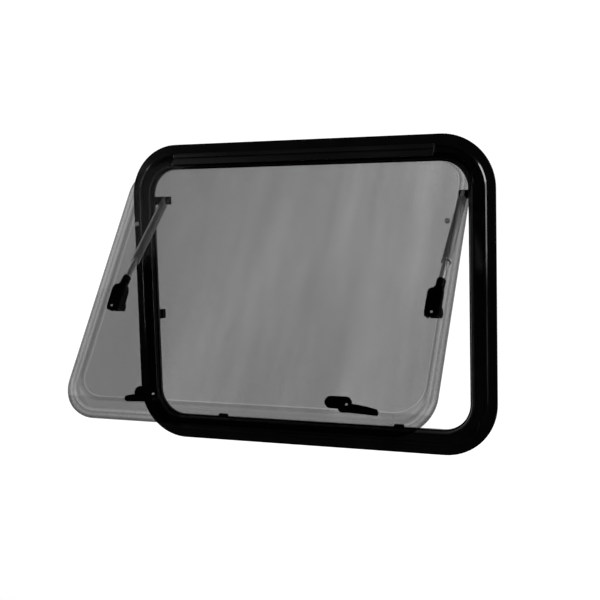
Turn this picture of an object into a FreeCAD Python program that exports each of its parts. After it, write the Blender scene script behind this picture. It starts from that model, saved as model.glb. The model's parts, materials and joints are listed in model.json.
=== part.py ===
import FreeCAD, Part
import math
import os

os.makedirs("parts", exist_ok=True)
V = FreeCAD.Vector

# Top-hung caravan window, stored open. Lengths are in millimetres, +Z is up and -Y is outdoors.
# The wall face is y = 0. The origin is on it, at the middle of the frame's bottom lap.

# Frame ring
frame_w = 740.0
frame_h = 590.0
frame_r = 100.0
wall_lap = 20.0          # how far the frame laps over the wall round the cut-out
cutout_gap = 0.8         # between the cut-out's edge and the frame's spigot
spigot_t = 3.5
spigot_depth = 22.0
lip_inset = 49.0         # from the frame's outer edge to the clear opening
channel_y = -4.6         # floor of the channel that the hinge rail is on
ridge_y = -8.6
ridge_w = 4.0
ridge_foot = 2.2
edge_t = 2.6
lip_step = 0.6           # the lip's back stands this far off the wall face
seat_out = 40.5          # seal seat, measured from the outer edge
seat_in = 46.0
seat_y = -5.0
seat_wall = 2.0
seat_wall_h = 2.6
lip_wall_h = 2.0

# Sash, measured closed
side_gap = 29.0          # frame's outer edge to the sash's edge
top_gap = 37.0
bottom_gap = 8.5
sash_r = 70.0
sash_front = -19.0       # outdoor face of the closed sash
sheet_t = 3.0
rim_t = 2.0
dome_h = 9.0             # outdoor face to the inner sheet's flat
dome_t = 2.0
dome_wall = 0.6          # drawn side of the inner sheet, hollow side to outer side
dome_over = 1.7          # foot of the drawn side outside the clear opening
dome_slope = 6.2
dome_low_slope = 14.0    # the bottom side is drawn flatter
seal_gap = 1.0           # between the closed sash and the seal
seal_round = 2.5

# Hinge
hinge_y = -17.0
hinge_drop = 24.0        # below the frame's top edge
open_angle = 35.15
bead_r = 3.6
bead_gap = 0.05
knuckle_r = 6.2
web_t = 2.4
slot_spare = 32.0        # degrees of slot beside the web at each end of the swing
hinge_end = 8.0          # hinge rail short of the sash's straight top edge
rail_foot_t = 2.4
rail_foot_gap = 3.0      # foot to the seal's seat wall
rail_arm_t = 4.0
rail_arm_drop = 0.5      # arm's top below the hinge line
strip_t = 1.2
strip_cap = 2.5
strip_out = 8.0
strip_in = 3.0

# Stays
stay_inset = 14.0        # inside the clear opening's edge
stay_pivot_y = 14.3
stay_pivot_drop = 73.0   # below the sash's top edge
stay_pin_drop = 311.0    # below the sash's top edge
stay_pin_depth = 25.5    # from the sash's outdoor face
stay_offset = 11.0       # the sash's pin beside the rod's line
pivot_pin_r = 3.0
pin_gap = 0.05
lug_r = 8.0
lug_t = 3.0
lug_gap = 0.6            # lug to the tube's eye
bracket_back = 9.5       # pivot to the back plate
bracket_back_t = 3.0
bracket_web_t = 4.0
bracket_web_gap = 1.0    # web behind the lip's edge
bracket_foot_t = 3.0
bracket_foot_w = 22.0    # behind the lip
eye_half = 3.6
eye_r = 7.0
eye_len = 12.0           # pivot to the tube
eye_tang = 14.0          # flat tang in the tube
tube_r = 8.4
tube_bore_r = 5.85
rod_gap = 0.05
tip_len = 3.0
tip_wall = 3.1
rod_in_tube = 46.0
rod_bare = 39.5
ferrule_r = 7.2
ferrule_len = 3.0
collar_r = 8.0
collar_len = 18.5
body_reach = 45.3        # sash's pin to the collar, along the rod's line
body_in = 11.0           # rod's line to the body's side towards the middle
body_out = 7.0
body_front = 6.2         # rod's line to the body's face at the collar
body_r = 9.0             # about the sash's pin
body_shoulder = 10.0
cheek_gap = 0.9
cheek_t = 2.5
cheek_r = 9.0
cheek_half = 13.0
base_t = 1.6
base_margin = 0.6
base_up = 40.0
base_down = 15.0
base_r = 9.0
knob_r = 7.5
knob_t = 1.0

# Latches
latch_x = 178.5          # latch pivots, from the middle
latch_rise = 17.5        # pivot above the clear opening's bottom edge
latch_pad_long = 28.4    # pivot to the pad's left end
latch_pad_short = 17.6
latch_pad_h = 19.7
latch_pad_t = 6.0
latch_post_end = 28.7    # from the sash's outdoor face
lever_len = 58.0
lever_t = 7.0
lever_gap = 0.3
lever_hub_r = 7.0
lever_tip_low = 4.2      # lever's line to the nose's low edge
lever_tip_high = 4.8
lever_low_r = 2.5
lever_high_r = 4.0
lever_crown = 1.2        # bulge of the lever's top edge
lever_droop = 6.0
tongue_half = 5.4        # post and tongue in one, round about the pivot
tongue_low = 10.5
screw_r = 4.5
screw_t = 2.0
keeper_shift = 5.0       # keeper's middle outwards of the latch's pivot
keeper_half = 10.0
keeper_h = 4.5
keeper_t = 3.5
keeper_bevel = 1.8

# Small pieces
clip_drop = 294.0        # below the sash's top edge
clip_h = 18.0
clip_step = 1.0          # foot behind the lip's edge
clip_out = 19.0          # behind the lip
clip_foot = 10.5
clip_tab = 12.0
clip_reach = 0.8         # tab into the opening
plug_drop = 140.0
plug_inset = 16.2
plug_r = 4.5
plug_t = 1.5

# Worked-out places, with z from the window's centre
z_mid = frame_h / 2 - wall_lap / 2
lip_back_y = -lip_step
open_x = frame_w / 2 - lip_inset
open_z = frame_h / 2 - lip_inset
sash_x = frame_w / 2 - side_gap
sash_top = frame_h / 2 - top_gap
sash_low = -frame_h / 2 + bottom_gap
joint_y = sash_front + sheet_t
sash_rim = joint_y + rim_t
hinge_z = frame_h / 2 - hinge_drop
rail_x = sash_x - sash_r - hinge_end
stay_x = open_x - stay_inset
dome_y = sash_front + dome_h
swing = math.radians(open_angle)


def box(x0, x1, y0, y1, z0, z1):
    return Part.makeBox(x1 - x0, y1 - y0, z1 - z0, V(x0, y0, z0))


def bar_x(x0, x1, y, z, r):
    return Part.makeCylinder(r, x1 - x0, V(x0, y, z), V(1, 0, 0))


def bar_y(x, z, y0, y1, r):
    return Part.makeCylinder(r, y1 - y0, V(x, y0, z), V(0, 1, 0))


def post(r, z0, z1):
    return Part.makeCylinder(r, z1 - z0, V(0, 0, z0))


def fuse(shapes):
    return shapes[0].fuse(shapes[1:]).removeSplitter()


def mirror_x(shape):
    return shape.mirror(V(0, 0, 0), V(1, 0, 0))


def mirror_z(shape):
    return shape.mirror(V(0, 0, 0), V(0, 0, 1))


def face_of(points):
    return Part.Face(Part.makePolygon(points + [points[0]]))


def extrusion(x0, x1, section):
    """Draw a (y, z) section out along X."""
    return face_of([V(x0, y, z) for y, z in section]).extrude(V(x1 - x0, 0, 0))


def ring(profile):
    """Sweep (inset, y) points round the frame's rounded outline."""
    cx = frame_w / 2 - frame_r
    cz = frame_h / 2 - frame_r
    side = face_of([V(frame_w / 2 - n, y, 0) for n, y in profile])
    stile = side.extrude(V(0, 0, cz))
    turned = face_of([V(frame_w / 2 - n, y, cz) for n, y in profile])
    corner = turned.revolve(V(cx, 0, cz), V(0, -1, 0), 90)
    over = face_of([V(0, y, frame_h / 2 - n) for n, y in profile])
    rail = over.extrude(V(cx, 0, 0))
    quarter = stile.fuse([corner, rail])
    half = quarter.fuse([mirror_x(quarter)])
    return half.fuse([mirror_z(half)]).removeSplitter()


def round_wire(x0, x1, z0, z1, r, y):
    """A rounded rectangle across Y."""
    k = r * math.sqrt(0.5)
    edges = []
    corners = [(x1 - r, z1 - r, 1, 1), (x0 + r, z1 - r, -1, 1), (x0 + r, z0 + r, -1, -1), (x1 - r, z0 + r, 1, -1)]
    ends = []
    for cx, cz, sx, sz in corners:
        side_end = V(cx + sx * r, y, cz)
        flat_end = V(cx, y, cz + sz * r)
        middle = V(cx + sx * k, y, cz + sz * k)
        first, last = (side_end, flat_end) if sx * sz > 0 else (flat_end, side_end)
        ends.append((first, middle, last))
    for i in range(4):
        first, middle, last = ends[i]
        edges.append(Part.Arc(first, middle, last).toShape())
        edges.append(Part.makeLine(last, ends[(i + 1) % 4][0]))
    return Part.Wire(edges)


def plate(x0, x1, z0, z1, r, y0, y1):
    return Part.Face(round_wire(x0, x1, z0, z1, r, y0)).extrude(V(0, y1 - y0, 0))


def stadium(x0, x1, zc, height, y0, y1):
    """A bar with half-round ends across Y."""
    r = height / 2
    left = Part.Arc(V(x0 + r, y0, zc + r), V(x0, y0, zc), V(x0 + r, y0, zc - r)).toShape()
    right = Part.Arc(V(x1 - r, y0, zc - r), V(x1, y0, zc), V(x1 - r, y0, zc + r)).toShape()
    low = Part.makeLine(V(x0 + r, y0, zc - r), V(x1 - r, y0, zc - r))
    high = Part.makeLine(V(x1 - r, y0, zc + r), V(x0 + r, y0, zc + r))
    return Part.Face(Part.Wire([left, low, right, high])).extrude(V(0, y1 - y0, 0))


def tab(x0, x1, eye, r, first, last):
    """A plate across X, from a straight seat (first to last) to a round end about its eye, all in (y, z)."""
    seat_dy = (first[0] + last[0]) / 2 - eye[0]
    seat_dz = (first[1] + last[1]) / 2 - eye[1]
    reach = math.hypot(seat_dy, seat_dz)
    along_y = r * seat_dy / reach
    along_z = r * seat_dz / reach
    start = V(x0, eye[0] - along_z, eye[1] + along_y)
    far = V(x0, eye[0] - along_y, eye[1] - along_z)
    end = V(x0, eye[0] + along_z, eye[1] - along_y)
    seat_start = V(x0, first[0], first[1])
    seat_end = V(x0, last[0], last[1])
    edges = [
        Part.Arc(start, far, end).toShape(),
        Part.makeLine(end, seat_end),
        Part.makeLine(seat_end, seat_start),
        Part.makeLine(seat_start, start),
    ]
    return Part.Face(Part.Wire(edges)).extrude(V(x1 - x0, 0, 0))


def swung(shape):
    """Turn a closed sash piece out to the stored angle."""
    moved = shape.copy()
    moved.rotate(V(0, hinge_y, hinge_z), V(1, 0, 0), -open_angle)
    return moved


def save(shape, name):
    moved = shape.copy()
    moved.translate(V(0, 0, z_mid))
    moved.exportStep("parts/" + name + ".step")


def save_pair(shape, name):
    save(shape, name + "_r")
    save(mirror_x(shape), name + "_l")


# Frame ring: wall lap, ridge, channel, seal seat and lip
spigot_out = wall_lap + cutout_gap
ridge_in = wall_lap + ridge_w / 2
ridge_out = wall_lap - ridge_w / 2
frame_profile = [
    (0, 0),
    (0, -edge_t),
    (ridge_out - ridge_foot, channel_y - edge_t / 4),
    (ridge_out, ridge_y),
    (ridge_in, ridge_y),
    (ridge_in + ridge_foot, channel_y),
    (seat_out - seat_wall, channel_y),
    (seat_out - seat_wall, seat_y - seat_wall_h),
    (seat_out, seat_y - seat_wall_h),
    (seat_out, seat_y),
    (seat_in, seat_y),
    (seat_in, seat_y - lip_wall_h),
    (lip_inset, seat_y - lip_wall_h),
    (lip_inset, lip_back_y),
    (spigot_out, lip_back_y),
    (spigot_out, 0),
]
save(ring(frame_profile), "frame_ring")

# Spigot: the thin wall behind the ring that goes into the cut-out
spigot_profile = [
    (spigot_out, lip_back_y),
    (spigot_out + spigot_t, lip_back_y),
    (spigot_out + spigot_t, spigot_depth),
    (spigot_out, spigot_depth),
]
save(ring(spigot_profile), "frame_spigot")

# Seal: a rubber bulb in its seat, just short of the closed sash's rim
seal_top = sash_rim + seal_gap
seal_mid = (seat_out + seat_in) / 2
seal_half = (seat_in - seat_out) / 2
seal_profile = [
    (seat_out, seat_y),
    (seat_out, seal_top + seal_round),
    (seal_mid - seal_half * 0.45, seal_top),
    (seal_mid + seal_half * 0.45, seal_top),
    (seat_in, seal_top + seal_round),
    (seat_in, seat_y),
]
save(ring(seal_profile), "frame_seal")

# Hinge rail: a foot in the channel and a slotted knuckle for the sash's bead
arm_high = hinge_z - rail_arm_drop
arm_low = arm_high - rail_arm_t
foot_low = frame_h / 2 - seat_out + seat_wall + rail_foot_gap
foot_y = channel_y - rail_foot_t
arm_start = hinge_y + bead_r + bead_gap
arm_section = [
    (arm_start, arm_low),
    (foot_y, arm_low),
    (foot_y, foot_low),
    (channel_y, foot_low),
    (channel_y, arm_high),
    (arm_start, arm_high),
]
rail = fuse([bar_x(-rail_x, rail_x, hinge_y, hinge_z, knuckle_r), extrusion(-rail_x, rail_x, arm_section)])
rail = rail.cut(bar_x(-rail_x, rail_x, hinge_y, hinge_z, bead_r + bead_gap))
inner_edge = math.radians(slot_spare)
outer_edge = math.radians(open_angle + slot_spare)
reach = 2.5 * knuckle_r
slot_section = [
    (hinge_y, hinge_z),
    (hinge_y + reach * math.sin(inner_edge), hinge_z - reach * math.cos(inner_edge)),
    (hinge_y - reach * math.sin(outer_edge), hinge_z - reach * math.cos(outer_edge)),
]
rail = rail.cut(extrusion(-rail_x, rail_x, slot_section))
save(rail, "hinge_rail")

# Stay brackets: a bent plate with its foot behind the lip, and two lugs that hold the pivot pin
pivot_z = sash_top - stay_pivot_drop
lug_in = eye_half + lug_gap
lug_out = lug_in + lug_t
back_y = stay_pivot_y + bracket_back
web_x = open_x + bracket_web_gap
foot_end = lip_back_y + bracket_foot_t
plate_low = pivot_z - lug_r
bent_plate = face_of([
    V(stay_x - lug_out, back_y, plate_low),
    V(web_x, back_y, plate_low),
    V(web_x, lip_back_y, plate_low),
    V(open_x + bracket_foot_w, lip_back_y, plate_low),
    V(open_x + bracket_foot_w, foot_end, plate_low),
    V(web_x + bracket_web_t, foot_end, plate_low),
    V(web_x + bracket_web_t, back_y + bracket_back_t, plate_low),
    V(stay_x - lug_out, back_y + bracket_back_t, plate_low),
]).extrude(V(0, 0, 2 * lug_r))
bracket = [bent_plate, bar_x(stay_x - lug_out, stay_x + lug_out, stay_pivot_y, pivot_z, pivot_pin_r)]
for lug_x in (stay_x - lug_out, stay_x + lug_in):
    lug_seat = ((back_y, pivot_z + lug_r), (back_y, pivot_z - lug_r))
    bracket.append(tab(lug_x, lug_x + lug_t, (stay_pivot_y, pivot_z), lug_r, *lug_seat))
save_pair(fuse(bracket), "stay_bracket")

# Keepers on the bottom lip and clips behind the stiles' lip
keeper_x = latch_x + keeper_shift
keeper_top = -open_z + keeper_h
keeper = face_of([
    V(keeper_x - keeper_half, seat_y, -open_z),
    V(keeper_x + keeper_half, seat_y, -open_z),
    V(keeper_x + keeper_half, seat_y, keeper_top - keeper_bevel),
    V(keeper_x + keeper_half - keeper_bevel, seat_y, keeper_top),
    V(keeper_x - keeper_half + keeper_bevel, seat_y, keeper_top),
    V(keeper_x - keeper_half, seat_y, keeper_top - keeper_bevel),
]).extrude(V(0, keeper_t, 0))
save_pair(keeper, "latch_keeper")
clip_low = sash_top - clip_drop - clip_h
clip_mid = lip_back_y + clip_foot
clip_end = clip_mid + clip_tab
clip = face_of([
    V(open_x + clip_step, lip_back_y, clip_low),
    V(open_x + clip_out, lip_back_y, clip_low),
    V(open_x + clip_out, clip_end, clip_low),
    V(open_x - clip_reach, clip_end, clip_low),
    V(open_x - clip_reach, clip_mid, clip_low),
    V(open_x + clip_step, clip_mid, clip_low),
]).extrude(V(0, 0, clip_h))
save_pair(clip, "stile_clip")

# Sash sheets: a flat outdoor sheet, and an inner one drawn up to a raised flat
outer_sheet = plate(-sash_x, sash_x, sash_low, sash_top, sash_r, sash_front, joint_y)
save(swung(outer_sheet), "sash_outer_sheet")
dome_x = open_x + dome_over
dome_top = open_z + dome_over
dome_low = -open_z - dome_over
dome_r = frame_r - lip_inset + dome_over
flat_x = dome_x - dome_slope
flat_top = dome_top - dome_slope
flat_low = dome_low + dome_low_slope
flat_r = dome_r - dome_slope


def drawn(inset, y0, y1):
    """The drawn side's room between its foot at y0 and the flat at y1."""
    foot = round_wire(-dome_x + inset, dome_x - inset, dome_low + inset, dome_top - inset, dome_r - inset, y0)
    flat = round_wire(-flat_x + inset, flat_x - inset, flat_low + inset, flat_top - inset, flat_r - inset, y1)
    return Part.makeLoft([foot, flat], True, True)


rim = plate(-sash_x, sash_x, sash_low, sash_top, sash_r, joint_y, sash_rim)
inner_sheet = fuse([rim, drawn(0, sash_rim, dome_y)]).cut(drawn(dome_wall, joint_y, dome_y - dome_t))
save(swung(inner_sheet), "sash_inner_sheet")

# Hinge strip: the bead, its web and a channel over the sheets' top edge
strip_top = sash_top + strip_cap
strip_section = [
    (sash_front - strip_t, sash_top - strip_out),
    (sash_front, sash_top - strip_out),
    (sash_front, sash_top),
    (sash_rim, sash_top),
    (sash_rim, sash_top - strip_in),
    (sash_rim + strip_t, sash_top - strip_in),
    (sash_rim + strip_t, strip_top),
    (hinge_y + web_t / 2, strip_top),
    (hinge_y + web_t / 2, hinge_z),
    (hinge_y - web_t / 2, hinge_z),
    (hinge_y - web_t / 2, strip_top),
    (sash_front - strip_t, strip_top),
]
strip = fuse([bar_x(-rail_x, rail_x, hinge_y, hinge_z, bead_r), extrusion(-rail_x, rail_x, strip_section)])
save(swung(strip), "hinge_strip")

# Stay bases on the sash: a rounded foot and two cheeks, with a button over the pin's end
pin_z = sash_top - stay_pin_drop
pin_y = sash_front + stay_pin_depth
base_y = dome_y + base_t
cheek_left = stay_x - body_in - cheek_gap - cheek_t
cheek_right = stay_x + body_out + cheek_gap
foot_left = cheek_left - base_margin
foot_right = cheek_right + cheek_t + base_margin
base = [plate(foot_left, foot_right, pin_z - base_down, pin_z + base_up, base_r, dome_y, base_y)]
for cheek_x in (cheek_left, cheek_right):
    cheek_seat = ((base_y, pin_z - cheek_half), (base_y, pin_z + cheek_half))
    base.append(tab(cheek_x, cheek_x + cheek_t, (pin_y, pin_z), cheek_r, *cheek_seat))
save_pair(swung(fuse(base)), "stay_base")
knob = bar_x(cheek_right + cheek_t, cheek_right + cheek_t + knob_t, pin_y, pin_z, knob_r)
save_pair(swung(knob), "stay_knob")

# Stays, built upright from the frame's pivot and then laid so that the sash's pin is beside the rod's line
away_y = pin_y - hinge_y
away_z = pin_z - hinge_z
pin_open_y = hinge_y + away_y * math.cos(swing) + away_z * math.sin(swing)
pin_open_z = hinge_z - away_y * math.sin(swing) + away_z * math.cos(swing)
pin_reach = math.hypot(pin_open_y - stay_pivot_y, pin_open_z - pivot_z)
stay_run = math.sqrt(pin_reach ** 2 - stay_offset ** 2)
stay_lean = math.atan2(stay_pivot_y - pin_open_y, pivot_z - pin_open_z) + math.asin(stay_offset / pin_reach)


def laid(shape):
    """Lay an upright stay piece along the stay's line, with its zero at the frame's pivot."""
    moved = shape.copy()
    moved.rotate(V(0, 0, 0), V(1, 0, 0), 180 - math.degrees(stay_lean))
    moved.translate(V(stay_x, stay_pivot_y, pivot_z))
    return moved


body_start = stay_run - body_reach
collar_start = body_start - collar_len
ferrule_start = collar_start - ferrule_len
tube_end = ferrule_start - rod_bare
tip_start = tube_end - tip_len
tang_half = math.sqrt((tube_bore_r - rod_gap) ** 2 - eye_half ** 2)
eye = fuse([
    tab(-eye_half, eye_half, (0, 0), eye_r, (-eye_r, eye_len), (eye_r, eye_len)),
    box(-eye_half, eye_half, -tang_half, tang_half, eye_len, eye_len + eye_tang),
])
eye = eye.cut(bar_x(-eye_half, eye_half, 0, 0, pivot_pin_r + pin_gap))
save_pair(laid(eye), "tube_eye")
tube = post(tube_r, eye_len, tip_start).cut(post(tube_bore_r, eye_len, tip_start))
save_pair(laid(tube), "stay_tube")
tip = post(tube_bore_r + tip_wall, tip_start, tube_end).cut(post(tube_bore_r, tip_start, tube_end))
save_pair(laid(tip), "tube_tip")
save_pair(laid(post(tube_bore_r - rod_gap, tube_end - rod_in_tube, ferrule_start)), "stay_rod")
save_pair(laid(post(ferrule_r, ferrule_start, collar_start)), "rod_ferrule")
save_pair(laid(post(collar_r, collar_start, body_start)), "stay_collar")

# Stay's end body: a moulded arm from the collar to the sash's pin, rounded at its end both ways
side_form = tab(
    -body_in, body_out, (-stay_offset, stay_run), body_r, (body_front, body_start), (-collar_r, body_start)
)
end_z = stay_run + body_r
front_y = -stay_offset - 2 * body_r
front_edges = [
    Part.Arc(
        V(-body_in, front_y, stay_run), V((body_out - body_in) / 2, front_y, end_z), V(body_out, front_y, stay_run)
    ).toShape(),
    Part.makeLine(V(body_out, front_y, stay_run), V(body_out, front_y, body_start)),
    Part.makeLine(V(body_out, front_y, body_start), V(-collar_r, front_y, body_start)),
    Part.makeLine(V(-collar_r, front_y, body_start), V(-body_in, front_y, body_start + body_shoulder)),
    Part.makeLine(V(-body_in, front_y, body_start + body_shoulder), V(-body_in, front_y, stay_run)),
]
front_form = Part.Face(Part.Wire(front_edges)).extrude(V(0, stay_offset + 4 * body_r, 0))
save_pair(laid(side_form.common(front_form)), "stay_body")

# Latch pads on the inner sheet, each with a post that ends in a tongue below, and the lever's pivot pin
latch_z = -open_z + latch_rise
pad_end = dome_y + latch_pad_t
post_end = sash_front + latch_post_end
lever_y = post_end + lever_gap
lever_end = lever_y + lever_t
screw_y = lever_end + lever_gap


def latch_pad(pivot_x):
    """A pad whose longer end is to the left of its pivot."""
    left = pivot_x - tongue_half
    right = pivot_x + tongue_half
    tongue_z = latch_z - tongue_low
    post_edges = [
        Part.Arc(
            V(right, pad_end, latch_z), V(pivot_x, pad_end, latch_z + tongue_half), V(left, pad_end, latch_z)
        ).toShape(),
        Part.makeLine(V(left, pad_end, latch_z), V(left, pad_end, tongue_z)),
        Part.makeLine(V(left, pad_end, tongue_z), V(right, pad_end, tongue_z)),
        Part.makeLine(V(right, pad_end, tongue_z), V(right, pad_end, latch_z)),
    ]
    return fuse([
        stadium(pivot_x - latch_pad_long, pivot_x + latch_pad_short, latch_z, latch_pad_h, dome_y, pad_end),
        Part.Face(Part.Wire(post_edges)).extrude(V(0, post_end - pad_end, 0)),
        bar_y(pivot_x, latch_z, post_end, screw_y, pivot_pin_r),
    ])


save(swung(latch_pad(latch_x)), "latch_pad_r")
save(swung(latch_pad(-latch_x)), "latch_pad_l")

# Latch levers: a hub and an arched arm that points outwards and a little down
nose_x = latch_x + lever_len
low_turn = lever_low_r * (1 - math.sqrt(0.5))
high_turn = lever_high_r * (1 - math.sqrt(0.5))
arch_h = (lever_hub_r + lever_tip_high) / 2 + lever_crown


def lever_point(x, height):
    return V(x, lever_y, latch_z + height)


lever_edges = [
    Part.Arc(
        lever_point(latch_x, lever_hub_r), lever_point(latch_x - lever_hub_r, 0), lever_point(latch_x, -lever_hub_r)
    ).toShape(),
    Part.makeLine(lever_point(latch_x, -lever_hub_r), lever_point(nose_x - lever_low_r, -lever_tip_low)),
    Part.Arc(
        lever_point(nose_x - lever_low_r, -lever_tip_low),
        lever_point(nose_x - low_turn, -lever_tip_low + low_turn),
        lever_point(nose_x, -lever_tip_low + lever_low_r),
    ).toShape(),
    Part.makeLine(
        lever_point(nose_x, -lever_tip_low + lever_low_r), lever_point(nose_x, lever_tip_high - lever_high_r)
    ),
    Part.Arc(
        lever_point(nose_x, lever_tip_high - lever_high_r),
        lever_point(nose_x - high_turn, lever_tip_high - high_turn),
        lever_point(nose_x - lever_high_r, lever_tip_high),
    ).toShape(),
    Part.Arc(
        lever_point(nose_x - lever_high_r, lever_tip_high),
        lever_point((latch_x + nose_x - lever_high_r) / 2, arch_h),
        lever_point(latch_x, lever_hub_r),
    ).toShape(),
]
lever = Part.Face(Part.Wire(lever_edges)).extrude(V(0, lever_t, 0))
lever = lever.cut(bar_y(latch_x, latch_z, lever_y, lever_end, pivot_pin_r + pin_gap))
lever.rotate(V(latch_x, 0, latch_z), V(0, 1, 0), lever_droop)
save_pair(swung(lever), "latch_lever")
save_pair(swung(bar_y(latch_x, latch_z, screw_y, screw_y + screw_t, screw_r)), "latch_screw")

# Vent plugs in the inner sheet
plug_x = dome_x - plug_inset
plug_z = sash_top - plug_drop
save_pair(swung(bar_y(plug_x, plug_z, dome_y, dome_y + plug_t, plug_r)), "vent_plug")
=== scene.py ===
import json
import math

import bmesh
import bpy
from mathutils import Matrix, Vector


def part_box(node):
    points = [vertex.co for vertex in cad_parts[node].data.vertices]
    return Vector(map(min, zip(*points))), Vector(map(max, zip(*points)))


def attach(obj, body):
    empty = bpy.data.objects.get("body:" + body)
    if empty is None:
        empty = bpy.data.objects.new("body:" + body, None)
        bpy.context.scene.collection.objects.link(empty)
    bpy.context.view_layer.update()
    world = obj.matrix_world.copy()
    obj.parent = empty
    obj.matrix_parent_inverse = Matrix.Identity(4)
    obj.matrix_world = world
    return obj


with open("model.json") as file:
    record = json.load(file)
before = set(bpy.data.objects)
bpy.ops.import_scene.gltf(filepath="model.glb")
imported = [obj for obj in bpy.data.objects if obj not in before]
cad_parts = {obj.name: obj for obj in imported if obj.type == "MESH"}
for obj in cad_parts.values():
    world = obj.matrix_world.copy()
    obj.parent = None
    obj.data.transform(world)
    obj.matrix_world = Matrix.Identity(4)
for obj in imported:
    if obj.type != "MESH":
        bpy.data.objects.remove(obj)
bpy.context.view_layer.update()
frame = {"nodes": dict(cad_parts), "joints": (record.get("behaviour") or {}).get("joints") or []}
nodes = frame["nodes"]


# Frame ring and spigot: an extruded aluminium flange bent round four corners, powder coated satin black.
# The flange laps over the caravan's outer skin, and the thin spigot behind it goes into the cut-out.
def new_finish(name):
    """A node material with one Principled shader, and the Object coordinates for its patterns."""
    material = bpy.data.materials.new(name)
    material.use_nodes = True
    tree = material.node_tree
    tree.nodes.clear()
    output = tree.nodes.new("ShaderNodeOutputMaterial")
    shader = tree.nodes.new("ShaderNodeBsdfPrincipled")
    place = tree.nodes.new("ShaderNodeTexCoord")
    tree.links.new(shader.outputs["BSDF"], output.inputs["Surface"])
    return material, tree, shader, place.outputs["Object"]


def add_noise(tree, place, scale, detail, stretch=(1, 1, 1)):
    """A noise pattern of that scale, stretched along the piece where it is drawn or brushed."""
    mapping = tree.nodes.new("ShaderNodeMapping")
    mapping.inputs["Scale"].default_value = stretch
    noise = tree.nodes.new("ShaderNodeTexNoise")
    noise.inputs["Scale"].default_value = scale
    noise.inputs["Detail"].default_value = detail
    tree.links.new(place, mapping.inputs["Vector"])
    tree.links.new(mapping.outputs["Vector"], noise.inputs["Vector"])
    return noise.outputs["Fac"]


def add_ramp(tree, value, stops):
    """Greys along a value: (position, grey) for each stop."""
    ramp = tree.nodes.new("ShaderNodeValToRGB")
    while len(ramp.color_ramp.elements) < len(stops):
        ramp.color_ramp.elements.new(1.0)
    for element, (position, grey) in zip(ramp.color_ramp.elements, stops):
        element.position = position
        element.color = (grey, grey, grey, 1)
    tree.links.new(value, ramp.inputs["Fac"])
    return ramp.outputs["Color"]


def add_range(tree, value, low, high, start=0.3, end=0.7):
    """Low to high as the value goes from start to end, which fit a noise unless they are given."""
    spread = tree.nodes.new("ShaderNodeMapRange")
    spread.inputs["From Min"].default_value = start
    spread.inputs["From Max"].default_value = end
    spread.inputs["To Min"].default_value = low
    spread.inputs["To Max"].default_value = high
    tree.links.new(value, spread.inputs["Value"])
    return spread.outputs["Result"]


def lay_on(tree, shader, colour, roughness):
    """Give the shader its colour and its roughness."""
    tree.links.new(colour, shader.inputs["Base Color"])
    tree.links.new(roughness, shader.inputs["Roughness"])


def add_bump(tree, shader, height, strength, depth, edge):
    """A fine relief, over edges that look rounded by that radius."""
    rounding = tree.nodes.new("ShaderNodeBevel")
    rounding.samples = 6
    rounding.inputs["Radius"].default_value = edge
    bump = tree.nodes.new("ShaderNodeBump")
    bump.inputs["Strength"].default_value = strength
    bump.inputs["Distance"].default_value = depth
    tree.links.new(height, bump.inputs["Height"])
    tree.links.new(rounding.outputs["Normal"], bump.inputs["Normal"])
    tree.links.new(bump.outputs["Normal"], shader.inputs["Normal"])


def dress(finish, *names):
    """Put the finish on the CAD pieces of those names."""
    for name in names:
        slots = nodes[name].data.materials
        slots.clear()
        slots.append(finish)


powder, tree, shader, place = new_finish("frame_powder_coat")
rub = add_noise(tree, place, scale=14, detail=5)
lay_on(
    tree, shader, colour=add_ramp(tree, rub, [(0.35, 0.0010), (0.7, 0.0022)]),
    roughness=add_range(tree, rub, low=0.12, high=0.2))
shader.inputs["Specular IOR Level"].default_value = 0.25
grain = add_noise(tree, place, scale=900, detail=3)
add_bump(tree, shader, grain, strength=0.05, depth=0.0003, edge=0.0008)
dress(powder, "frame_ring", "frame_spigot")

# Seal: an extruded rubber bulb, matt and a little dusty.
# It is pressed into its seat all round the opening, and the closed sash bears on it.
rubber, tree, shader, place = new_finish("seal_rubber")
dust = add_noise(tree, place, scale=60, detail=6)
lay_on(
    tree, shader, colour=add_ramp(tree, dust, [(0.4, 0.003), (0.75, 0.007)]),
    roughness=add_range(tree, dust, low=0.5, high=0.7))
shader.inputs["Specular IOR Level"].default_value = 0.2
grain = add_noise(tree, place, scale=1500, detail=2)
add_bump(tree, shader, grain, strength=0.2, depth=0.0003, edge=0.002)
dress(rubber, "frame_seal")

# Hinge: two aluminium extrusions, the rail on the frame and the strip on the sash's top edge, coated black.
# The strip's bead slides into the rail's slotted knuckle from one end and turns in it.
hinge_coat, tree, shader, place = new_finish("hinge_coat")
wear = add_noise(tree, place, scale=30, detail=6, stretch=(0.15, 1, 1))
lay_on(
    tree, shader, colour=add_ramp(tree, wear, [(0.4, 0.002), (0.8, 0.004)]),
    roughness=add_range(tree, wear, low=0.22, high=0.36))
shader.inputs["Specular IOR Level"].default_value = 0.2
die_lines = add_noise(tree, place, scale=700, detail=3, stretch=(0.05, 1, 1))
add_bump(tree, shader, die_lines, strength=0.06, depth=0.0003, edge=0.001)
dress(hinge_coat, "hinge_rail", "hinge_strip")

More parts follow.
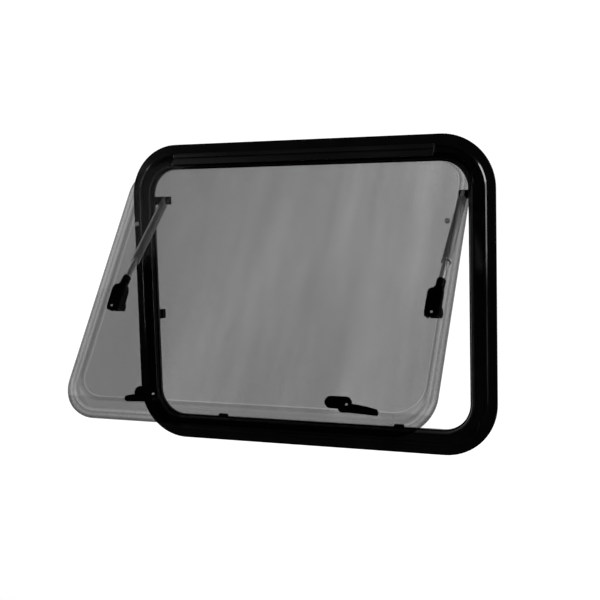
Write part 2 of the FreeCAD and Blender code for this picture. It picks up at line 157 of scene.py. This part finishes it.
# Sash sheets: two cast acrylic sheets tinted smoke grey, the inner one drawn over a mould.
# They are bonded at the rim and left clear and glossy. Their tint carries painted light: painted shade and
# painted highlight lines along the rim's edge, a painted glint along the flat's lower edge, a painted shade
# from left to right with streaky painted reflection, and a painted shade on the bottom band below the flat.
# Places on the sash are taken as it is when closed, from the middle of the hinge's line.
hinge = frame["joints"][0]
swing = -math.radians(hinge["range_deg"][0])
closing = Matrix.Rotation(swing, 4, "X") @ Matrix.Translation(-Vector(hinge["pos_m"]))
sash_half = float(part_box("sash_outer_sheet")[1][0])
top_drop = 0.013            # sheets' top edge below the hinge's line
sheet_h = 0.5445
corner_r = 0.070
rim_side = 0.0183           # outer edge to the foot of the drawn side
rim_top = 0.0103
foot_r = 0.0527
slope_side = 0.0062         # foot to the flat
flat_rise = 0.0427          # bottom edge to the line along the flat
foot_fade = 0.004           # length over which the bottom band below that line gets its painted shade
painted_shade_start = -0.014        # where the painted shade and the streaky painted reflection begin, from the outline inwards
painted_shade_full = -0.006


def add_math(tree, operation, first, second=0.0):
    """One sum on values or plain numbers."""
    node = tree.nodes.new("ShaderNodeMath")
    node.operation = operation
    for socket, value in zip(node.inputs, (first, second)):
        if isinstance(value, float):
            socket.default_value = value
        else:
            tree.links.new(value, socket)
    return node.outputs[0]


def add_inset(tree, place, half_x, top, bottom, radius):
    """How far a point is inside a rounded outline on the sash, and its place on the closed sash."""
    mapping = tree.nodes.new("ShaderNodeMapping")
    mapping.inputs["Location"].default_value = closing.translation
    mapping.inputs["Rotation"].default_value = (swing, 0, 0)
    tree.links.new(place, mapping.inputs["Vector"])
    split = tree.nodes.new("ShaderNodeSeparateXYZ")
    tree.links.new(mapping.outputs["Vector"], split.inputs["Vector"])
    from_middle = add_math(tree, "ADD", split.outputs["Z"], (top + bottom) / 2)
    corner = tree.nodes.new("ShaderNodeCombineXYZ")
    for axis, value, half in (("X", split.outputs["X"], half_x), ("Z", from_middle, (bottom - top) / 2)):
        past = add_math(tree, "SUBTRACT", add_math(tree, "ABSOLUTE", value), half - radius)
        tree.links.new(add_math(tree, "MAXIMUM", past), corner.inputs[axis])
    reach = tree.nodes.new("ShaderNodeVectorMath")
    reach.operation = "LENGTH"
    tree.links.new(corner.outputs["Vector"], reach.inputs[0])
    return add_math(tree, "SUBTRACT", radius, reach.outputs["Value"]), split.outputs


def smoked_sheet_with_painted_light(name, outline, span, lines, shade, foot):
    """Clear smoke grey acrylic, with a gloss that grows at a slant.

    The lines are (share of the span, grey) along the outline: painted shade and painted highlight lines on the
    rim.
    The shade is a painted shade from left to right inside it, mixed with streaky painted reflection, and the
    foot is a painted shade that darkens the bottom band below the flat.
    """
    smoke, tree, shader, place = new_finish(name)
    tree.nodes.remove(shader)
    inset, on_sash = add_inset(tree, place, **outline)
    # Painted shade and painted highlight: light and dark lines along the outline, standing in for what the
    # rim's edges bend and mirror.
    rim = add_ramp(tree, add_range(tree, inset, low=0.0, high=1.0, start=span[0], end=span[1]), lines)
    inside = add_range(tree, inset, low=0.0, high=1.0, start=painted_shade_start, end=painted_shade_full)
    # Painted reflection: noise streaks of lighter and darker tint, stronger towards the right, added to a
    # painted shade from left to right, only inside the flat.
    cloud = add_noise(tree, place, scale=5, detail=3, stretch=(2.0, 0.35, 0.35))
    painted_streaks = add_range(tree, cloud, low=-0.06, high=0.06)
    painted_streak_drift = add_range(tree, on_sash["X"], low=0.3, high=1.0, start=-sash_half, end=sash_half)
    painted_side_shade = add_range(tree, on_sash["X"], low=shade[0], high=shade[1], start=-sash_half, end=sash_half)
    painted_shade_and_streaks = add_math(tree, "ADD", painted_side_shade, add_math(tree, "MULTIPLY", painted_streaks, painted_streak_drift))
    kept = add_math(tree, "SUBTRACT", 1.0, add_math(tree, "MULTIPLY", painted_shade_and_streaks, inside))
    # Painted shade: below the flat the bottom band lets less through, by the foot.
    flat_z = -top_drop - sheet_h + flat_rise
    painted_foot_shade = add_range(tree, on_sash["Z"], low=foot, high=1.0, start=flat_z - foot_fade, end=flat_z)
    kept = add_math(tree, "MULTIPLY", kept, painted_foot_shade)
    through = tree.nodes.new("ShaderNodeBsdfTransparent")
    tree.links.new(add_math(tree, "MULTIPLY", rim, kept), through.inputs["Color"])
    gloss = tree.nodes.new("ShaderNodeBsdfGlossy")
    gloss.inputs["Color"].default_value = (0.8, 0.8, 0.8, 1)
    smears = add_noise(tree, place, scale=40, detail=6)
    tree.links.new(add_range(tree, smears, low=0.03, high=0.07), gloss.inputs["Roughness"])
    slant = tree.nodes.new("ShaderNodeLayerWeight").outputs["Facing"]
    sheet = tree.nodes.new("ShaderNodeMixShader")
    tree.links.new(add_range(tree, slant, low=0.005, high=0.1, start=0.6, end=1.0), sheet.inputs["Fac"])
    tree.links.new(through.outputs[0], sheet.inputs[1])
    tree.links.new(gloss.outputs[0], sheet.inputs[2])
    tree.links.new(sheet.outputs[0], tree.nodes["Material Output"].inputs["Surface"])
    return smoke


edge_outline = {"half_x": sash_half, "top": top_drop, "bottom": top_drop + sheet_h, "radius": corner_r}
# Painted shade and painted highlight lines along the outer sheet's edge.
painted_edge_lines = [
    (0.0, 0.45), (0.06, 0.43), (0.15, 0.64), (0.25, 0.77),
    (0.39, 0.59), (0.5, 0.78), (0.69, 0.59), (0.88, 0.71),
]
outer_smoke_and_painted_light = smoked_sheet_with_painted_light(
    "smoked_outer_sheet_and_painted_light", edge_outline, span=(0.0, 0.028), lines=painted_edge_lines, shade=(0.0, 0.0), foot=1.0)
dress(outer_smoke_and_painted_light, "sash_outer_sheet")
flat_outline = {
    "half_x": sash_half - rim_side - slope_side, "top": top_drop + rim_top + slope_side,
    "bottom": top_drop + sheet_h - flat_rise, "radius": foot_r - slope_side,
}
# Painted shade and painted highlight lines round the inner sheet's flat; the grey 0.90 at 0.8 is a painted
# glint along the flat's edge.
painted_flat_lines = [
    (0.0, 0.66), (0.2, 0.73), (0.42, 0.62), (0.54, 0.69),
    (0.66, 0.665), (0.77, 0.70), (0.8, 0.90), (0.83, 0.71),
]
# The inner sheet's shade is a painted shade, darker at the left, and its foot a painted shade on the bottom
# band.
inner_smoke_and_painted_light = smoked_sheet_with_painted_light(
    "smoked_inner_sheet_and_painted_light", flat_outline, span=(-0.032, 0.008), lines=painted_flat_lines, shade=(0.19, 0.0), foot=0.87)
dress(inner_smoke_and_painted_light, "sash_inner_sheet")

# Stay fittings, latches, keepers and clips: moulded in black nylon, with a fine grain from the mould.
# The brackets, keepers and clips are fixed to the frame's lip, and the bases and latch pads to the inner sheet.
nylon, tree, shader, place = new_finish("moulded_nylon")
mould = add_noise(tree, place, scale=350, detail=4)
cloud = add_noise(tree, place, scale=45, detail=4)
lay_on(
    tree, shader, colour=add_ramp(tree, cloud, [(0.35, 0.0015), (0.75, 0.0035)]),
    roughness=add_range(tree, mould, low=0.3, high=0.42))
shader.inputs["Specular IOR Level"].default_value = 0.05
add_bump(tree, shader, mould, strength=0.1, depth=0.0003, edge=0.0012)
nylon_pieces = (
    "stay_bracket", "latch_keeper", "stile_clip", "stay_base", "stay_knob", "stay_collar", "stay_body",
    "latch_pad", "latch_lever",
)
for side in "lr":
    dress(nylon, *(piece + "_" + side for piece in nylon_pieces))

# Vent plugs: natural nylon plugs pushed through the inner sheet's air holes.
# Their pale heads show in the hollow between the sheets.
pale_nylon, tree, shader, place = new_finish("natural_nylon")
cloud = add_noise(tree, place, scale=250, detail=3)
lay_on(
    tree, shader, colour=add_ramp(tree, cloud, [(0.3, 0.36), (0.7, 0.44)]),
    roughness=add_range(tree, cloud, low=0.4, high=0.55))
dress(pale_nylon, "vent_plug_l", "vent_plug_r")
plug_head_r = 0.0045
plug_head_h = 0.0012
hollow_y = 0.005            # hollow side of the inner sheet's flat, from the hinge's line
outdoors = Matrix.Rotation(math.pi / 2, 4, "X")
head_sides = 24
head_draft = 0.9            # a head's radius at its top, as a share of that at its seat
head_rounding = 0.4         # its top edge's rounding, as a share of its height
rounding_steps = 3


def top_face(shape):
    """The highest face."""
    return max(shape.faces, key=lambda face: face.calc_center_median().z)


def round_head(radius, height):
    """A round head that stands on the XY plane, with its top edge rounded off."""
    shape = bmesh.new()
    bmesh.ops.create_cone(
        shape, cap_ends=True, segments=head_sides, radius1=radius, radius2=radius * head_draft, depth=height,
        matrix=Matrix.Translation((0, 0, height / 2)))
    bmesh.ops.bevel(
        shape, geom=list(top_face(shape).edges), affect="EDGES", offset=height * head_rounding,
        segments=rounding_steps, profile=0.5, material=-1)
    return shape


def place_head(shape, name, seat, finish, body):
    """Set a head on its seat, with its top along the seat's Z, and let it ride on the body."""
    bmesh.ops.transform(shape, verts=shape.verts, matrix=seat)
    bmesh.ops.recalc_face_normals(shape, faces=shape.faces)
    mesh = bpy.data.meshes.new(name)
    shape.to_mesh(mesh)
    shape.free()
    mesh.materials.append(finish)
    head = bpy.data.objects.new(name, mesh)
    bpy.context.scene.collection.objects.link(head)
    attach(head, body)


for side in "lr":
    plug_low, plug_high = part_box("vent_plug_" + side)
    plug = closing @ ((Vector(plug_low) + Vector(plug_high)) / 2)
    seat = closing.inverted() @ Matrix.Translation((plug.x, hollow_y, plug.z)) @ outdoors
    shape = round_head(plug_head_r, plug_head_h)
    place_head(shape, "vent_plug_head_" + side, seat, pale_nylon, "sash")

# Stay tubes: drawn aluminium tubes with a grey anodised skin, faintly lined along their length.
# Each hangs by its eye from a bracket on the frame, and the stay's rod slides in it.
anodised, tree, shader, place = new_finish("anodised_tube")
drawn = add_noise(tree, place, scale=120, detail=4, stretch=(1, 0.1, 0.1))
lay_on(
    tree, shader, colour=add_ramp(tree, drawn, [(0.3, 0.36), (0.7, 0.43)]),
    roughness=add_range(tree, drawn, low=0.3, high=0.42))
dress(anodised, "stay_tube_l", "stay_tube_r")

# Rods, ferrules, tube rings, eyes and latch screws: bright plated steel.
# Ring and eye are pressed on the tube's ends, and the ferrule joins the rod to the stay's end body.
bright, tree, shader, place = new_finish("bright_steel")
brushed = add_noise(tree, place, scale=200, detail=4)
lay_on(
    tree, shader, colour=add_ramp(tree, brushed, [(0.3, 0.78), (0.7, 0.88)]),
    roughness=add_range(tree, brushed, low=0.25, high=0.4))
shader.inputs["Metallic"].default_value = 0.2
steel_pieces = ("stay_rod", "rod_ferrule", "tube_tip", "tube_eye", "latch_screw")
for side in "lr":
    dress(bright, *(piece + "_" + side for piece in steel_pieces))

# Pan head screws: plated steel. One fixes each stay base and each latch pad, with its head in the hollow
# between the sheets, and one fixes each stay bracket's foot behind the frame's lip.
head_r = 0.0022
head_h = 0.0013
recess_rim = 0.15           # shares of the head's radius: the rim round the cross recess,
slot_half = 0.2             # half the cross's slot
cross_corner = 0.4          # how far the recess's other corners are drawn in, as a share
recess_depth = 0.5          # share of the head's height
stay_screw_x = 0.3058
stay_screw_drop = 0.3186    # below the sheets' top edge
latch_x = 0.1785
latch_screw_x = 0.0115      # from the latch, to the right on both sides
latch_screw_drop = 0.4915
bracket_screw_x = 0.3345
bracket_foot_y = 0.0024
bracket_screw_z = 0.470
indoors = Matrix.Rotation(-math.pi / 2, 4, "X")


def screw_head(name, body, seat):
    """A pan head with a cross recess."""
    shape = round_head(head_r, head_h)
    top = top_face(shape)
    bmesh.ops.inset_region(shape, faces=[top], thickness=head_r * recess_rim)
    for vert in top.verts:
        if min(abs(vert.co.x), abs(vert.co.y)) >= head_r * slot_half:
            vert.co.xy *= cross_corner
    recess = bmesh.ops.extrude_discrete_faces(shape, faces=[top])["faces"]
    bmesh.ops.translate(shape, verts=recess[0].verts, vec=(0, 0, -head_h * recess_depth))
    place_head(shape, name, seat, bright, body)


def hollow_seat(x, drop):
    """A seat in the hollow between the sheets, that far below their top edge."""
    return closing.inverted() @ Matrix.Translation((x, hollow_y, -top_drop - drop)) @ outdoors


for side, sign in (("l", -1), ("r", 1)):
    screw_head("stay_base_screw_" + side, "sash", hollow_seat(sign * stay_screw_x, stay_screw_drop))
    screw_head("latch_pad_screw_" + side, "sash", hollow_seat(sign * latch_x + latch_screw_x, latch_screw_drop))
    bracket_seat = Matrix.Translation((sign * bracket_screw_x, bracket_foot_y, bracket_screw_z)) @ indoors
    screw_head("bracket_screw_" + side, "frame", bracket_seat)

# Studio: the window hangs in a dim room, before a white sweep that curves up from a pale floor.
# What is seen directly or through the pane is white, as on a cut-out picture, and what gloss mirrors is dark.
# The lamps are a key from the front right, and soft boxes that the frame's ridge and the pane mirror.
scene = bpy.context.scene
scene.view_settings.view_transform = "Standard"
white = (1, 1, 1, 1)
ambient_power = 0.4
mirrored_room = 0.03
floor_grey = (0.4, 0.4, 0.4, 1)
floor_glow = (0.92, 0.92, 0.92, 1)
floor_z = -0.85
sweep_half = 9.0
sweep_front = 1.0
sweep_back = 8.0
sweep_r = 3.0
sweep_top = 7.0
sweep_steps = 16
window_middle = Vector((0, -0.15, 0.285))


def seen_rays(tree):
    """1 for what the camera sees directly, in gloss or through glass, and 0 for light on the object."""
    rays = tree.nodes.new("ShaderNodeLightPath")
    direct = add_math(tree, "MAXIMUM", rays.outputs["Is Camera Ray"], rays.outputs["Is Glossy Ray"])
    return add_math(tree, "MAXIMUM", direct, rays.outputs["Is Transmission Ray"])


def pull_edge(shape, edge, shift):
    """Draw a face from the edge along the shift, and return its far edge."""
    grown = bmesh.ops.extrude_edge_only(shape, edges=[edge])["geom"]
    far = [part for part in grown if isinstance(part, bmesh.types.BMVert)]
    bmesh.ops.translate(shape, verts=far, vec=shift)
    return next(part for part in grown if isinstance(part, bmesh.types.BMEdge) and set(part.verts) == set(far))


def soft_lamp(name, place, size, power):
    """A soft box that faces the window."""
    lamp = bpy.data.lights.new(name, "AREA")
    lamp.shape = "RECTANGLE"
    lamp.size, lamp.size_y = size
    lamp.energy = power
    holder = bpy.data.objects.new(name, lamp)
    scene.collection.objects.link(holder)
    holder.location = place
    holder.rotation_euler = (window_middle - Vector(place)).to_track_quat("-Z", "Y").to_euler()


world = bpy.data.worlds.new("studio")
scene.world = world
world.use_nodes = True
tree = world.node_tree
tree.nodes.clear()
in_gloss = tree.nodes.new("ShaderNodeLightPath").outputs["Is Glossy Ray"]
surround = tree.nodes.new("ShaderNodeBackground")
surround.inputs["Color"].default_value = white
surround_power = add_range(tree, in_gloss, low=1.0, high=mirrored_room, start=0.0, end=1.0)
tree.links.new(surround_power, surround.inputs["Strength"])
ambient = tree.nodes.new("ShaderNodeBackground")
ambient.inputs["Color"].default_value = white
ambient.inputs["Strength"].default_value = ambient_power
choose = tree.nodes.new("ShaderNodeMixShader")
output = tree.nodes.new("ShaderNodeOutputWorld")
tree.links.new(seen_rays(tree), choose.inputs["Fac"])
tree.links.new(ambient.outputs[0], choose.inputs[1])
tree.links.new(surround.outputs[0], choose.inputs[2])
tree.links.new(choose.outputs[0], output.inputs["Surface"])

shape = bmesh.new()
front = [shape.verts.new((x, sweep_front, floor_z)) for x in (-sweep_half, sweep_half)]
edge = pull_edge(shape, shape.edges.new(front), (0, sweep_back - sweep_r - sweep_front, 0))
turned = bmesh.ops.spin(
    shape, geom=[edge, *edge.verts], cent=(0, sweep_back - sweep_r, floor_z + sweep_r), axis=(1, 0, 0),
    dvec=(0, 0, 0), angle=math.pi / 2, steps=sweep_steps)["geom_last"]
edge = next(part for part in turned if isinstance(part, bmesh.types.BMEdge))
pull_edge(shape, edge, (0, 0, sweep_top - floor_z - sweep_r))
for face in shape.faces:
    face.smooth = True
floor_mesh = bpy.data.meshes.new("floor")
shape.to_mesh(floor_mesh)
shape.free()
floor = bpy.data.objects.new("floor", floor_mesh)
scene.collection.objects.link(floor)
pale = bpy.data.materials.new("pale_floor")
pale.use_nodes = True
tree = pale.node_tree
tree.nodes.clear()
matt = tree.nodes.new("ShaderNodeBsdfDiffuse")
matt.inputs["Color"].default_value = floor_grey
glow = tree.nodes.new("ShaderNodeEmission")
glow.inputs["Color"].default_value = floor_glow
tree.links.new(seen_rays(tree), glow.inputs["Strength"])
both = tree.nodes.new("ShaderNodeAddShader")
output = tree.nodes.new("ShaderNodeOutputMaterial")
tree.links.new(matt.outputs[0], both.inputs[0])
tree.links.new(glow.outputs[0], both.inputs[1])
tree.links.new(both.outputs[0], output.inputs["Surface"])
floor_mesh.materials.append(pale)

soft_lamp("key_lamp", place=(1.5, -1.8, 1.2), size=(0.8, 0.8), power=16)
soft_lamp("rim_lamp", place=(2.0, 0.38, 1.25), size=(0.7, 1.0), power=45)
soft_lamp("left_lamp", place=(-2.0, -0.35, 0.6), size=(0.6, 1.2), power=95)
soft_lamp("low_rim_lamp", place=(2.0, 0.315, 0.52), size=(0.15, 0.6), power=3)
soft_lamp("pane_lamp", place=(-1.42, -0.74, 2.0), size=(0.35, 0.7), power=0.95)

# Camera: where the photograph was taken from, to the right of the window's middle and a little above it.
# Turn, rise, roll, reach, aim and lens come from fitting the frame's and the sash's edges.
camera_turn = math.radians(22.549)
camera_rise = math.radians(6.038)
camera_roll = math.radians(-1.543)
camera_reach = 2.1245
camera_aim = Vector((-0.01232, 0, 0.27438))
camera_lens = 66.26
back = Vector((
    math.sin(camera_turn) * math.cos(camera_rise),
    -math.cos(camera_turn) * math.cos(camera_rise),
    math.sin(camera_rise),
))
across = Vector((math.cos(camera_turn), math.sin(camera_turn), 0))
upward = back.cross(across)
right = across * math.cos(camera_roll) + upward * math.sin(camera_roll)
up = upward * math.cos(camera_roll) - across * math.sin(camera_roll)
stand = camera_aim + back * camera_reach
camera = bpy.data.objects.new("camera", bpy.data.cameras.new("camera"))
camera.data.sensor_width = 36.0
camera.data.lens = camera_lens
camera.data.clip_end = 100.0
camera.matrix_world = Matrix((
    (right.x, up.x, back.x, stand.x),
    (right.y, up.y, back.y, stand.y),
    (right.z, up.z, back.z, stand.z),
    (0, 0, 0, 1),
))
scene.collection.objects.link(camera)
scene.camera = camera
